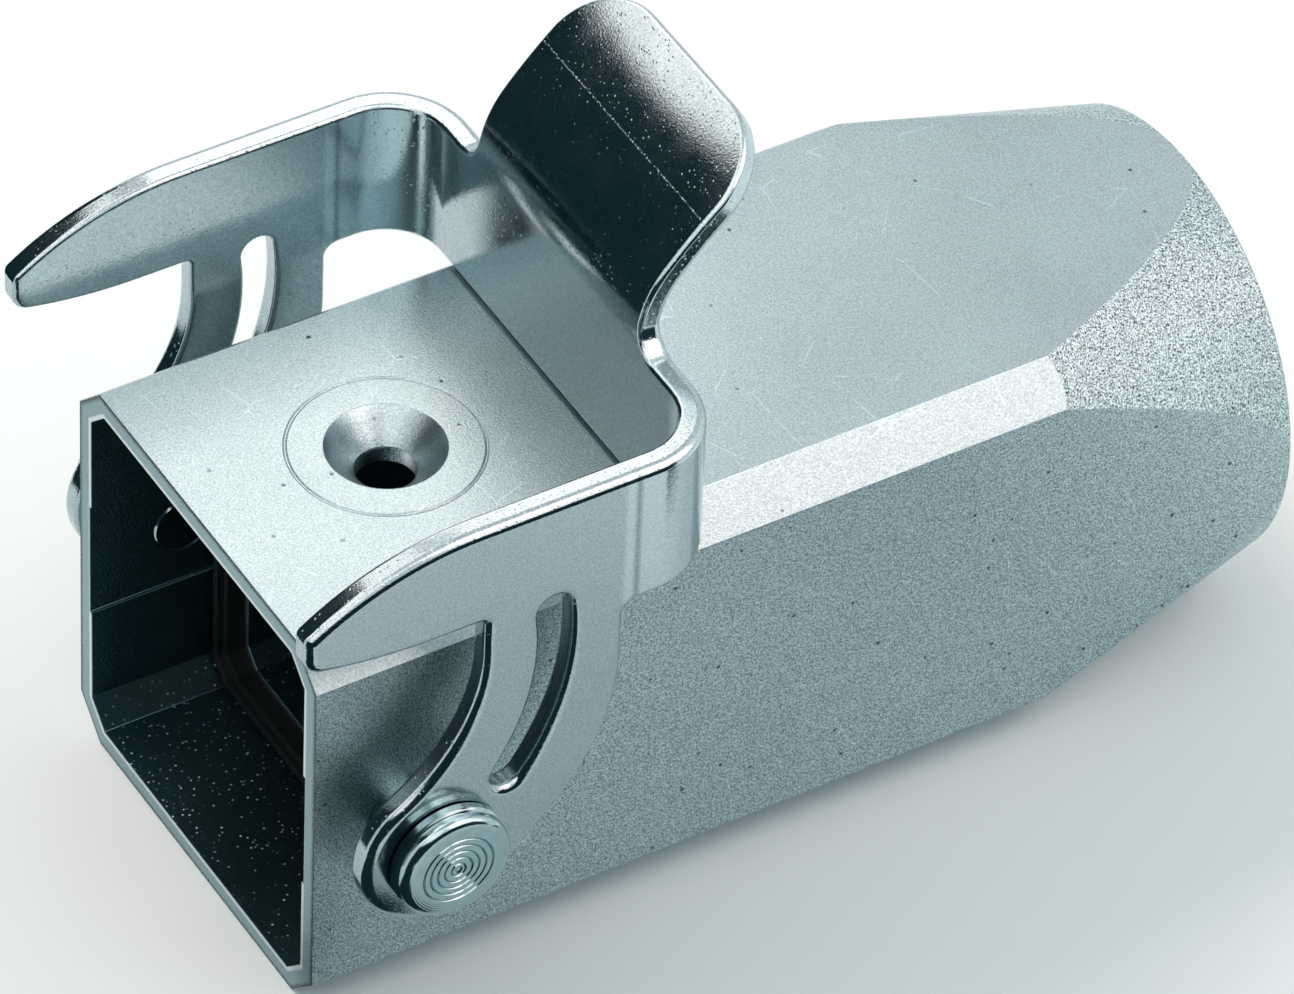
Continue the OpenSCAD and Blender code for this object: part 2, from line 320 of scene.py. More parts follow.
@dataclass(frozen=True)
class BlastedZinc(Finish):
    """Zinc alloy, die-cast and shot-blasted: a matte grey that glitters a little, with fine pits.

    Attributes:
        grain_mm: width of one dent of the blasted grain, drawn coarser than the real one so that it shows.
        grain_deep_mm: depth of those dents.
        glitter: how far a dent's brightness strays from the middle.
        side_boost: how much coarser the grain looks on the sides than on the top.
        taper_boost: how much coarser it looks on the round taper.
        rear_mm: distance from the mouth to where the rear half starts.
        flow_mm: width of the cloudy patches left by the metal's flow.
        cloud: how far a patch's brightness strays from the middle.
        spread: how far its roughness strays.
        pit_mm: spacing of the casting pits.
        pit_deep: depth of a pit, as a multiple of the grain's.
        pit_colour: darker colour drawn in the pits.
        scratch_mm: spacing of the hairline scratches from handling.
        scratch_wide_mm: width of a scratch, drawn wider than the real one so that it shows.
        scratch_patch_mm: width of the patches in which the scratches lie.
        scratch_shine: how much brighter a scratch is than the grain round it.
        inside: colour of the inside, drawn darker than the rest: painted shade.
        glint_mm: spacing of the painted glints on the inside, drawn as pale matte specks.
        painted_glint: colour of those painted glints, and of the painted highlight along the rim's inner edge.
        glint_lean: how many more of the painted glints lie on the faces that look up.
        rim: colour of the faces that look out of the mouth, drawn darker: painted shade.
        painted_edge_shade: colour of the painted shade along the ragged outer edge of the rim.
        rim_half_mm: half the width of the body across its flats at the rim.
        rim_cut_mm: flat cut along the body's corners there.
        rim_wall_mm: thickness of the rim.
        rim_line_mm: width of the painted shade along the outer edge, and of the painted highlight along the inner
            one.
        rim_ragged: how far the ragged edge wanders, as a multiple of its width.
    """

    grain_mm: float = 0.11
    grain_deep_mm: float = 0.015
    glitter: float = 0.26
    side_boost: float = 2.8
    taper_boost: float = 4.2
    rear_mm: float = 30.0
    flow_mm: float = 9.0
    cloud: float = 0.03
    spread: float = 0.04
    pit_mm: float = 1.6
    pit_deep: float = 1.5
    pit_colour: str = "#3E555B"
    scratch_mm: float = 5.0
    scratch_wide_mm: float = 0.1
    scratch_patch_mm: float = 3.0
    scratch_shine: float = 0.22
    inside: str = "#527A82"
    glint_mm: float = 0.34
    painted_glint: str = "#DDE6E8"
    glint_lean: float = 0.4
    rim: str = "#8AA8AE"
    painted_edge_shade: str = "#2C4248"
    rim_half_mm: float = 13.0
    rim_cut_mm: float = 2.2
    rim_wall_mm: float = 1.3
    rim_line_mm: float = 0.22
    rim_ragged: float = 4.0

    # The span of a value over which each mask goes from nothing to whole.
    TAPER: ClassVar[Settings] = {"From Min": 0.08, "From Max": 0.2}
    SIDE: ClassVar[Settings] = {"From Min": 0.6, "From Max": 0.3}
    PIT_HOLE: ClassVar[Settings] = {"From Min": 0.04, "From Max": 0.1, **FALLING}
    PIT_CHOSEN: ClassVar[Settings] = {"From Min": 0.55, "From Max": 0.75}
    SCRATCHED: ClassVar[Settings] = {"From Min": 0.56, "From Max": 0.6}
    INWARD: ClassVar[Settings] = {"From Min": -0.3, "From Max": -0.6}
    SPECK_DOT: ClassVar[Settings] = {"From Min": 0.1, "From Max": 0.25, **FALLING}
    SPECK_BIAS: ClassVar[Settings] = {"From Min": 0.4, "From Max": 1.1}
    SPECK_CHOSEN: ClassVar[Settings] = {"From Min": 0.2, "From Max": 0.5}
    FRONTAL: ClassVar[Settings] = {"From Min": -0.85, "From Max": -0.97}

    def shader(self, tree: bpy.types.NodeTree, place: bpy.types.NodeSocket) -> bpy.types.Node:
        """Adds the cloudy colour, the blasted grain, the pits, the scratches, the painted shade and glints of the
        inside, and the rim's painted shade and highlight.

        Args:
            tree: the material's node tree.
            place: the surface point in the piece's own frame.

        Returns:
            The shader node.
        """
        add = partial(add_node, tree)
        at = {"Vector": place}
        facing = add("TexCoord").outputs["Normal"]
        lean = add("SeparateXYZ", links={0: facing}).outputs
        sides = add("SeparateXYZ", links={0: add("VectorMath", {"operation": "ABSOLUTE"}, {0: place})}).outputs
        grain = add("TexNoise", {**GRAINY, "Scale": per_mm(self.grain_mm)}, at)
        flow = add("TexNoise", {"Scale": per_mm(self.flow_mm), "Detail": 3.0}, at)
        # In the rear half, only the taper's face leans along the body, so its lean finds it.
        rear = add("Math", {"operation": "GREATER_THAN", 1: self.rear_mm * MM}, {0: sides["X"]})
        tapered = add("Math", TIMES, {0: lean["X"], 1: rear})
        taper = add("MapRange", {**self.TAPER, "To Min": 1.0, "To Max": self.taper_boost}, {"Value": tapered})
        side = add("MapRange", {**self.SIDE, "To Min": 1.0, "To Max": self.side_boost}, {"Value": lean["Z"]})
        boost = add("Math", LARGER, {0: taper, 1: side})
        # A pit fills the middle of its cell, and only the cells with a high random value have one.
        cells = add("TexVoronoi", {"Scale": per_mm(self.pit_mm)}, at).outputs
        hole = add("MapRange", self.PIT_HOLE, {"Value": cells["Distance"]})
        chosen = add("MapRange", self.PIT_CHOSEN, {"Value": cells["Color"]})
        pits = add("Math", TIMES, {0: hole, 1: chosen})
        relief = add("Math", {**TIMES_PLUS, 1: -self.pit_deep}, {0: pits, 2: grain})
        depth = add("Math", {**TIMES, 1: self.grain_deep_mm * MM}, {0: boost})
        bump = add("Bump", {"Strength": 1.0}, {"Height": relief, "Distance": depth})
        # The glitter is the grain seen as light and dark: each dent is a shade of its own.
        stray = add("MapRange", {**NOISE, "To Min": -self.glitter, "To Max": self.glitter}, {"Value": grain})
        sparkle = add("Math", TIMES, {0: stray, 1: boost})
        cloud = add("MapRange", {**NOISE, "To Min": 1 - self.cloud, "To Max": 1 + self.cloud}, {"Value": flow})
        # A scratch is a short length of a line between two cells, kept where the noise is high.
        lines = add("TexVoronoi", {"feature": "DISTANCE_TO_EDGE", "Scale": per_mm(self.scratch_mm)}, at)
        half = self.scratch_wide_mm / self.scratch_mm / 2
        hairline = add("MapRange", {"From Min": half / 2, "From Max": half, "To Min": self.scratch_shine,
                                    "To Max": 0.0}, {"Value": lines})
        patch = add("TexNoise", {"Scale": per_mm(self.scratch_patch_mm), "Detail": 1.0}, at)
        short = add("MapRange", self.SCRATCHED, {"Value": patch})
        worn = add("Math", TIMES_PLUS, {0: hairline, 1: short, 2: cloud})
        shade = add("Math", PLUS, {0: sparkle, 1: worn})
        clean = add("Mix", {**TINT, UNDER: linear(self.colour)}, {OVER: shade})
        pitted = add("Mix", {**MIX, OVER: linear(self.pit_colour)}, {SHARE: pits, UNDER: clean})
        # Painted shade: the inside, what faces the axis, is drawn in a darker colour.
        across = add("VectorMath", {**TIMES, 1: (0.0, 1.0, 1.0)}, {0: place})
        radial = add("VectorMath", {"operation": "NORMALIZE"}, {0: across})
        turned = add("VectorMath", {"operation": "DOT_PRODUCT"}, {0: radial, 1: facing})
        inner = add("MapRange", self.INWARD, {"Value": turned})
        # Painted glints: pale specks on the inside, more of them on the faces that look up, drawn as no metal so
        # that they take the diffuse light.
        specks = add("TexVoronoi", {"Scale": per_mm(self.glint_mm)}, at).outputs
        dot = add("MapRange", self.SPECK_DOT, {"Value": specks["Distance"]})
        glint_bias = add("Math", {**TIMES_PLUS, 1: self.glint_lean}, {0: lean["Z"], 2: flow})
        glint_odds = add("MapRange", self.SPECK_BIAS, {"Value": glint_bias})
        glint_pick = add("Math", TIMES, {0: specks["Color"], 1: glint_odds})
        kept = add("MapRange", self.SPECK_CHOSEN, {"Value": glint_pick})
        glint = add("Math", TIMES, {0: dot, 1: kept})
        # The inside's colour: painted shade, with the painted glints on it.
        skin = add("Mix", {**MIX, UNDER: linear(self.inside), OVER: linear(self.painted_glint)}, {SHARE: glint})
        # Where the painted glints lie on the inside, the surface is no metal.
        dusty = add("Math", TIMES, {0: inner, 1: glint})
        bare = add("Math", {"operation": "SUBTRACT", 0: 1.0}, {1: dusty})
        # Across the rim, the distance from the body's outline places a painted shade along the ragged outer edge
        # and a painted highlight along the inner one.
        flats = add("Math", LARGER, {0: sides["Y"], 1: sides["Z"]})
        both = add("Math", PLUS, {0: sides["Y"], 1: sides["Z"]})
        shift = self.rim_half_mm - (2 * self.rim_half_mm - self.rim_cut_mm) * math.sqrt(0.5)
        slant = add("Math", {**TIMES_PLUS, 1: math.sqrt(0.5), 2: shift * MM}, {0: both})
        outline = add("Math", LARGER, {0: flats, 1: slant})
        line = self.rim_line_mm * MM
        ragged = add("Math", {**TIMES_PLUS, 1: self.rim_ragged * line}, {0: grain, 2: outline})
        edge_shade_start = self.rim_half_mm * MM + line / 2
        edge_shade = add("MapRange", {"From Min": edge_shade_start, "From Max": edge_shade_start + line}, {"Value": ragged})
        lip = (self.rim_half_mm - self.rim_wall_mm) * MM + line
        lip_highlight = add("MapRange", {"From Min": lip + line / 2, "From Max": lip}, {"Value": outline})
        lipped = add("Mix", {**MIX, UNDER: linear(self.rim), OVER: linear(self.painted_glint)}, {SHARE: lip_highlight})
        edged = add("Mix", {**MIX, OVER: linear(self.painted_edge_shade)}, {SHARE: edge_shade, UNDER: lipped})
        # Painted shade: the faces that look out of the mouth take the rim's darker colour.
        front = add("MapRange", self.FRONTAL, {"Value": lean["X"]})
        trimmed = add("Mix", MIX, {SHARE: front, UNDER: pitted, OVER: edged})
        cast = add("Mix", MIX, {SHARE: inner, UNDER: trimmed, OVER: skin})
        rough = add("MapRange", {**NOISE, "To Min": self.roughness - self.spread,
                                 "To Max": self.roughness + self.spread}, {"Value": flow})
        return add("BsdfPrincipled",
                   links={"Base Color": cast, "Roughness": rough, "Normal": bump, "Metallic": bare})


@dataclass(frozen=True)
class TumbledSteel(Finish):
    """Sheet steel, stamped and tumbled: a satin sheen with a fine even grain and a soft waviness.

    Attributes:
        wave_mm: width of the soft waves.
        wave_deep_mm: depth of those waves.
        spread: how far the roughness strays between them.
        grain_mm: width of one dent of the grain, drawn coarser than the real one so that it shows.
        grain_deep_mm: depth of those dents.
        nick_mm: spacing of the nicks left by the tumbling.
        nick_deep_mm: depth of those nicks.
        glitter: how far a dent's brightness strays from the middle.
        mark: place along the body and height of the line that the bending tool left, in metres.
        mark_mm: width of that line.
        mark_high_mm: height of that line.
        bend_sheen_x: place along the body of the painted shade line on the arms, in metres.
        bend_sheen_mm: width of the painted shade line there.
        bend_sheen: how much brighter the bends are painted behind that line: painted highlight.
    """

    wave_mm: float = 2.2
    wave_deep_mm: float = 0.006
    spread: float = 0.03
    grain_mm: float = 0.13
    grain_deep_mm: float = 0.005
    nick_mm: float = 0.24
    nick_deep_mm: float = 0.018
    glitter: float = 0.2
    mark: Flat = (0.0, 0.0)
    mark_mm: float = 0.14
    mark_high_mm: float = 0.02
    bend_sheen_x: float = 1.0
    bend_sheen_mm: float = 0.3
    bend_sheen: float = 0.3

    # The span of a value over which each mask goes from nothing to whole.
    DENT: ClassVar[Settings] = {"From Max": 0.3, **FALLING}
    NICKED: ClassVar[Settings] = {"From Min": 0.5, "From Max": 0.8}
    BROKEN: ClassVar[Settings] = {"From Min": 0.5, "From Max": 0.7}
    BENDS: ClassVar[Settings] = {"From Min": 0.2, "From Max": 0.5}
    # Where each step of the painted lines starts, in widths of it, and by how many sheens it lightens the shade.
    BEND_SHEEN_STEPS: ClassVar[tuple[tuple[int, int], ...]] = ((-3, 1), (-1, -2), (0, 2))

    def shader(self, tree: bpy.types.NodeTree, place: bpy.types.NodeSocket) -> bpy.types.Node:
        """Adds the waves, the grain, the nicks, the tool's line, and the painted highlight and shade on the arms
        and bends.

        Args:
            tree: the material's node tree.
            place: the surface point in the piece's own frame.

        Returns:
            The shader node.
        """
        add = partial(add_node, tree)
        at = {"Vector": place}
        waves = add("TexNoise", {"Scale": per_mm(self.wave_mm), "Detail": 1.0}, at)
        grain = add("TexNoise", {**GRAINY, "Scale": per_mm(self.grain_mm)}, at)
        cells = add("TexVoronoi", {"Scale": per_mm(self.nick_mm)}, at).outputs
        dent = add("MapRange", self.DENT, {"Value": cells["Distance"]})
        chosen = add("MapRange", self.NICKED, {"Value": cells["Color"]})
        nicks = add("Math", TIMES, {0: dent, 1: chosen})
        # The bending tool's line crosses the tab, and the grain breaks it up.
        section = add("VectorMath", {**TIMES, 1: (1.0, 0.0, 1.0)}, {0: place})
        off = add("VectorMath", {"operation": "DISTANCE", 1: (self.mark[0], 0.0, self.mark[1])}, {0: section})
        line = add("MapRange", {"From Max": self.mark_mm / 2 * MM, **FALLING}, {"Value": off})
        broken = add("MapRange", self.BROKEN, {"Value": grain})
        traces = add("Math", TIMES, {0: line, 1: broken})
        reliefs = ((waves, self.wave_deep_mm), (grain, self.grain_deep_mm), (nicks, self.nick_deep_mm),
                   (traces, self.mark_high_mm))
        layer: Links = {}
        for relief, deep_mm in reliefs:
            layer = {"Normal": add("Bump", {"Strength": 1.0, "Distance": deep_mm * MM},
                                   {"Height": relief, **layer})}
        # On the arms and their bends, a painted shade line, with a painted highlight line ahead of it and painted
        # highlight on the bends behind it.
        along = add("SeparateXYZ", links={0: place}).outputs["X"]
        facing = add("SeparateXYZ", links={0: add("TexCoord").outputs["Normal"]}).outputs
        outward = add("Math", {"operation": "ABSOLUTE"}, {0: facing["Y"]})
        bends = add("MapRange", self.BENDS, {"Value": outward})
        width = self.bend_sheen_mm * MM
        sheen_sum: Links = {}
        for start, shines in self.BEND_SHEEN_STEPS:
            first = self.bend_sheen_x + start * width
            step = add("MapRange", {"From Min": first, "From Max": first + width,
                                    "To Max": shines * self.bend_sheen}, {"Value": along})
            sheen_sum = {0: add("Math", {**PLUS, 0: 0.0}, {**sheen_sum, 1: step})}
        glow = add("Math", TIMES, {**sheen_sum, 1: bends})
        dents = add("MapRange", {**NOISE, "To Min": 1 - self.glitter, "To Max": 1 + self.glitter},
                    {"Value": grain})
        shade = add("Math", PLUS, {0: dents, 1: glow})
        colour = add("Mix", {**TINT, UNDER: linear(self.colour)}, {OVER: shade})
        rough = add("MapRange", {**NOISE, "To Min": self.roughness - self.spread,
                                 "To Max": self.roughness + self.spread}, {"Value": waves})
        return add("BsdfPrincipled", {"Metallic": 1.0}, {"Base Color": colour, "Roughness": rough, **layer})


@dataclass(frozen=True)
class TurnedSteel(Finish):
    """Bar steel, turned on a lathe: bright, with fine rings round the axis that break up the gloss.

    Attributes:
        axis_x: the turning axis's place along the body, in metres; the axis runs along Y.
        feed_mm: spacing of the tool's rings, drawn coarser than the real ones so that they show.
        feed_deep_mm: depth of those rings.
        feed_stray: how far the rings stray from a circle.
        wear_mm: width of the patches of handling wear.
        wear_dark: shade of the dullest patch.
        wear_bright: shade of the brightest patch.
        spread: how far the roughness strays between them.
    """

    axis_x: float = 0.0
    feed_mm: float = 0.14
    feed_deep_mm: float = 0.003
    feed_stray: float = 0.6
    wear_mm: float = 0.5
    wear_dark: float = 0.92
    wear_bright: float = 1.05
    spread: float = 0.05

    # A ring pattern repeats about every 0.314 of its own unit at scale 1, so 1 mm apart needs 314.
    RING_STEP: ClassVar[float] = 0.314

    def shader(self, tree: bpy.types.NodeTree, place: bpy.types.NodeSocket) -> bpy.types.Node:
        """Adds the tool's rings and a little handling wear.

        Args:
            tree: the material's node tree.
            place: the surface point in the piece's own frame.

        Returns:
            The shader node.
        """
        add = partial(add_node, tree)
        centred = add("Mapping", {"Location": (-self.axis_x, 0.0, 0.0)}, {"Vector": place})
        rings = add("TexWave", {
            "wave_type": "RINGS", "rings_direction": "Y", "Scale": self.RING_STEP * per_mm(self.feed_mm),
            "Distortion": self.feed_stray, "Detail": 2.0}, {"Vector": centred})
        wear = add("TexNoise", {"Scale": per_mm(self.wear_mm), "Detail": 3.0}, {"Vector": place})
        bump = add("Bump", {"Strength": 1.0, "Distance": self.feed_deep_mm * MM},
                   {"Height": rings.outputs["Fac"]})
        shade = add("MapRange", {**NOISE, "To Min": self.wear_dark, "To Max": self.wear_bright},
                    {"Value": wear})
        colour = add("Mix", {**TINT, UNDER: linear(self.colour)}, {OVER: shade})
        rough = add("MapRange", {**NOISE, "To Min": self.roughness - self.spread,
                                 "To Max": self.roughness + self.spread}, {"Value": wear})
        return add("BsdfPrincipled", {"Metallic": 1.0},
                   {"Base Color": colour, "Roughness": rough, "Normal": bump})


@dataclass(frozen=True)
class MouldedRubber(Finish):
    """Nitrile rubber, press-moulded: soft black without gloss, with a dusty bloom in patches.

    Attributes:
        skin_mm: width of one cell of the mould's fine texture.
        skin_deep_mm: depth of that texture.
        skin_strength: how strongly it shows.
        bloom_mm: width of the dusty patches.
        bloom: colour of the bloom.
        dulling: how much rougher the bloom makes the surface.
        ior: how strongly the rubber bends light.
        gloss: level of its reflections, where 0.5 is full.
    """

    skin_mm: float = 0.16
    skin_deep_mm: float = 0.008
    skin_strength: float = 0.6
    bloom_mm: float = 3.0
    bloom: str = "#0F1A1D"
    dulling: float = 0.15
    ior: float = 1.52
    gloss: float = 0.3

    # The span of the noise over which the bloom goes from nothing to half.
    BLOOMED: ClassVar[Settings] = {"From Min": 0.45, "From Max": 0.75, "To Max": 0.5}

    def shader(self, tree: bpy.types.NodeTree, place: bpy.types.NodeSocket) -> bpy.types.Node:
        """Adds the moulded skin and the bloom.

        Args:
            tree: the material's node tree.
            place: the surface point in the piece's own frame.

        Returns:
            The shader node.
        """
        add = partial(add_node, tree)
        at = {"Vector": place}
        skin = add("TexNoise", {"Scale": per_mm(self.skin_mm), "Detail": 2.0}, at)
        patches = add("TexNoise", {"Scale": per_mm(self.bloom_mm), "Detail": 4.0}, at)
        bump = add("Bump", {"Strength": self.skin_strength, "Distance": self.skin_deep_mm * MM},
                   {"Height": skin})
        dusty = add("MapRange", self.BLOOMED, {"Value": patches})
        colour = add("Mix", {**MIX, UNDER: linear(self.colour), OVER: linear(self.bloom)}, {SHARE: dusty})
        rough = add("MapRange", {"To Min": self.roughness, "To Max": self.roughness + self.dulling},
                    {"Value": patches})
        return add("BsdfPrincipled", {"IOR": self.ior, "Specular IOR Level": self.gloss},
                   {"Base Color": colour, "Roughness": rough, "Normal": bump})


@dataclass(frozen=True)
class FeltGlow(Finish):
    """Wool felt, dyed dark, drawn as a faint even glow without gloss: painted light, so that metal shows it as one
    even dark tone.
    """

    def shader(self, tree: bpy.types.NodeTree, place: bpy.types.NodeSocket) -> bpy.types.Node:
        """Adds one even faint glow, whatever the surface point, and returns the shader."""
        return add_node(tree, "Emission", {"Color": linear(self.colour)})


@dataclass(frozen=True)
class MattePaper(Finish):
    """Backdrop paper, uncoated: a plain pale ground with hardly any gloss.

    Attributes:
        gloss: level of its reflections, where 0.5 is full.
    """

    gloss: float = 0.1

    def shader(self, tree: bpy.types.NodeTree, place: bpy.types.NodeSocket) -> bpy.types.Node:
        """Adds one plain ground, whatever the surface point, and returns the shader."""
        return add_node(tree, "BsdfPrincipled", {
            "Base Color": linear(self.colour), "Roughness": self.roughness, "Specular IOR Level": self.gloss})


ZINC = BlastedZinc("Zinc alloy, die-cast and blasted", "#A7BABF", 0.33)
CUT_ZINC = BlastedZinc("Zinc alloy, thread-cut", "#BBCBCE", 0.26, grain_deep_mm=0.008, inside="#BBCBCE",
                       rim="#BBCBCE")
RUBBER = MouldedRubber("Nitrile rubber, moulded", "#081013", 0.6)
FELT = FeltGlow("Felt, dark", "#1A3238", 1.0)
PAPER = MattePaper("Paper, matte", "#F4F4F4", 0.9)


# The solids' points closer than this are one point, in millimetres; faces that turn less, in degrees, one face.
WELD_MM = 0.0005
FLAT_TURN = 0.2
# How far a large face outweighs a small one in the shading; 50 is an even weight.
FACE_WEIGHT = 60


def dress(node: str, finish: Finish, edge_mm: float, sharper_than: float, segments: int) -> bpy.types.Object:
    """Gives one of the frame's solids its finish and rounds its edges with modifiers; its mesh stays.

    Args:
        node: the solid's name.
        finish: the finish.
        edge_mm: width of the round, in millimetres.
        sharper_than: the turn in degrees from which an edge counts as sharp.
        segments: number of faces across the round.

    Returns:
        The solid's object.
    """
    piece = frame["nodes"][node]
    piece.data.materials.clear()
    piece.data.materials.append(finish.material())
    modifiers = [
        ("join_faces", "WELD", {"merge_threshold": WELD_MM * MM}),
        ("join_flat_faces", "DECIMATE", {"decimate_type": "DISSOLVE", "angle_limit": math.radians(FLAT_TURN)}),
        ("round_edges", "BEVEL", {
            "limit_method": "ANGLE", "angle_limit": math.radians(sharper_than), "width": edge_mm * MM,
            "segments": segments, "use_clamp_overlap": False, "miter_outer": "MITER_SHARP"}),
        ("even_shading", "WEIGHTED_NORMAL", {"keep_sharp": False, "weight": FACE_WEIGHT}),
    ]
    for name, kind, settings in modifiers:
        modifier = piece.modifiers.new(name, kind)
        for key, value in settings.items():
            setattr(modifier, key, value)
    return piece


@dataclass
class HoodBody:
    """The die-cast body, and the thread cut in its cable entry.

    Attributes:
        edge_mm: round left on the casting's edges by the blasting.
        edge_turn: turn in degrees from which one of those edges is rounded.
        pitch_mm: pitch of the gland thread.
        depth_mm: height of the thread's ridge.
        bite_mm: how far the ridge's root runs into the wall.
        foot: half the ridge's width at its root, as a share of the pitch.
        crest: half its width at its crest.
        run_out: share of a turn over which the ridge rises from the wall at each end.
        least_rise: share of its height that it starts from.
        flank_turn: turn in degrees from which its edges look crisp.
        steps: number of sections in one turn of the thread.
    """

    edge_mm: float = 0.06
    edge_turn: float = 9.0
    pitch_mm: float = 1.5
    depth_mm: float = 0.81
    bite_mm: float = 0.05
    foot: float = 0.44
    crest: float = 0.09
    run_out: float = 1 / 3
    least_rise: float = 0.02
    flank_turn: float = 30.0
    steps: int = 96

    def thread(self) -> bpy.types.Object:
        """Builds the thread's ridge as one helix on the wall of the cable entry.

        Returns:
            The ridge's object.
        """
        entry = next(m for m in frame["record"]["mounts"] if m["name"] == "cable_entry")
        wall = entry["dims"]["r_mm"] + self.bite_mm
        run = entry["dims"]["length_mm"] - self.pitch_mm
        start = entry["pos_m"][0] / MM - run / 2
        count = round(run / self.pitch_mm * self.steps)
        foot = self.foot * self.pitch_mm
        crest = self.crest * self.pitch_mm
        points = []
        for i in range(count + 1):
            turn = 2 * math.pi * i / self.steps
            rise = min(1.0, min(i, count - i) / (self.run_out * self.steps))
            top = wall - max(self.least_rise, rise) * (self.depth_mm + self.bite_mm)
            middle = start + self.pitch_mm * i / self.steps
            section = ((wall, -foot), (top, -crest), (top, crest), (wall, foot))
            for radius, shift in section:
                points.append(Vector((middle + shift, radius * math.cos(turn), radius * math.sin(turn))) * MM)
        piece = new_object("cable_thread", points, ring_solid(count + 1, len(section)))
        piece.data.materials.append(CUT_ZINC.material())
        crisp(piece, self.flank_turn)
        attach(piece, Body.HOOD.value)
        return piece

    def build(self) -> list[bpy.types.Object]:
        """Dresses the casting and builds the thread, and returns both."""
        return [dress("housing", ZINC, self.edge_mm, self.edge_turn, segments=2), self.thread()]


@dataclass
class LockingLever:
    """The lever: a flat blank with tumbled edges, stamped from sheet and then bent.

    On the blank, the first coordinate runs round the band from the middle of the rear wall, and the second is
    the height. Sizes are in millimetres and angles in degrees.

    Attributes:
        sheet: thickness of the sheet.
        edge: round that the tumbling leaves on the inner face's edges.
        roll: larger round on the outer face's edges, where the die drew the sheet in.
        edge_steps: number of faces across each round.
        band_low: height of the band's lower edge.
        band_top: height of the band's upper edge.
        wall_reach: distance of the rear wall behind the pivot.
        bend_r: inner radius of the two corner bends.
        bend_steps: number of faces round one bend.
        end_r: radius of the round end at the pivot.
        end_steps: number of faces round that end.
        hole_r: radius of the pivot hole.
        hole_steps: number of faces round that hole.
        front: setback of the arm's front edge behind the pivot.
        rear: setback of the arm's rear edge behind the pivot.
        front_hollow_r: radius of the hollow in the front edge.
        rear_round_r: radius of the round in the rear edge.
        flank_turn: direction of the rear flank's outward side.
        band_corner_r: inside corner between the rear edge and the band.
        hook_corner_r: inside corner of the hook.
        hook_rise: height of the hook's working edge above the band's lower edge.
        hook_lift_r: radius that lifts the working edge to the tip.
        hook_lift_x: where that curve begins, ahead of the pivot.
        hook_back_r: radius along the back of the hook.
        hook_back_x: where that curve begins, behind the pivot.
        tip_upper_r: upper corner of the tip.
        tip_lower_r: lower corner of the tip.
        slot_w: width of the curved slot.
        slot_r: radius of the slot's middle line.
        slot_x: setback of the slot's rearmost point behind the pivot.
        slot_drop: drop of the slot's curve centre below the band.
        slot_up: sweep of the slot above its curve centre.
        slot_down: sweep of the slot below its curve centre.
        tab_w: width of the thumb tab.
        tab_rise: rise of the tab above the band before it bends.
        tab_bend_r: inner radius of the tab's bend.
        tab_lean: angle of that bend.
        tab_sweep_r: inner radius of the gentle sweep after the bend.
        tab_len: length of that sweep.
        tab_corner_r: corners of the tab's end.
        tab_root_r: hollow corners at the tab's root.
        mark_rise: distance from the tab's bend to the line that the bending tool left.
        sheen_lead: distance from the corner bend forward to the painted shade line on the arm.
    """

    sheet: float = 1.5
    edge: float = 0.3
    roll: float = 0.55
    edge_steps: int = 6
    band_low: float = 13.1
    band_top: float = 22.15
    wall_reach: float = 15.87
    bend_r: float = 3.4
    bend_steps: int = 16
    end_r: float = 4.8
    end_steps: int = 40
    hole_r: float = 2.45
    hole_steps: int = 48
    front: float = 2.3
    rear: float = 10.65
    front_hollow_r: float = 10.65
    rear_round_r: float = 13.45
    flank_turn: float = -44.5
    band_corner_r: float = 0.8
    hook_corner_r: float = 0.4
    hook_rise: float = 2.5
    hook_lift_r: float = 30.0
    hook_lift_x: float = 0.75
    hook_back_r: float = 17.2
    hook_back_x: float = 1.75
    tip_upper_r: float = 0.6
    tip_lower_r: float = 1.1
    slot_w: float = 1.95
    slot_r: float = 15.2
    slot_x: float = 6.6
    slot_drop: float = 0.6
    slot_up: float = 7.5
    slot_down: float = 34.8
    tab_w: float = 17.0
    tab_rise: float = 0.5
    tab_bend_r: float = 5.4
    tab_lean: float = 40.0
    tab_sweep_r: float = 30.0
    tab_len: float = 8.2
    tab_corner_r: float = 4.4
    tab_root_r: float = 1.7
    mark_rise: float = 3.2
    sheen_lead: float = 1.2

    # Points closer than this to a bend's line lie on it.
    ON_LINE: ClassVar[float] = 1e-7

    def __post_init__(self) -> None:
        """Works out the places that follow from the sizes and from the frame."""
        low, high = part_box("locking_lever")
        self.pivot_x: float = frame["joints"][0]["pos_m"][0] / MM
        self.tip_x: float = low.x / MM
        self.wall_x: float = self.pivot_x + self.wall_reach
        self.bend_x: float = self.wall_x - self.bend_r
        self.wall_half: float = high.y / MM - self.sheet - self.bend_r
        self.middle_r: float = self.bend_r + self.sheet / 2
        self.arm_start: float = self.wall_half + self.middle_r * math.pi / 2
        self.tab_start: float = self.band_top + self.tab_rise
        self.tab_arc: float = (self.tab_bend_r + self.sheet / 2) * math.radians(self.tab_lean)
        self.sweep_arc: float = self.tab_len * (1 + self.sheet / 2 / self.tab_sweep_r)
        self.tab_top: float = self.tab_start + self.tab_arc + self.sweep_arc
        self.tab_bend: Flat = (self.wall_x + self.sheet + self.tab_bend_r, self.tab_start)
        self.tab_sweep: Flat = on_circle(self.tab_bend, self.tab_sweep_r - self.tab_bend_r, -self.tab_lean)

    def tip_centre(self, centre: Flat, big: float, small: float, side: int) -> Flat:
        """Finds the centre of the tip's small corner inside a big arc, on its upper side (1) or lower (-1)."""
        x = self.tip_x + small
        return x, centre[1] + side * math.sqrt((big - small) ** 2 - (x - centre[0]) ** 2)

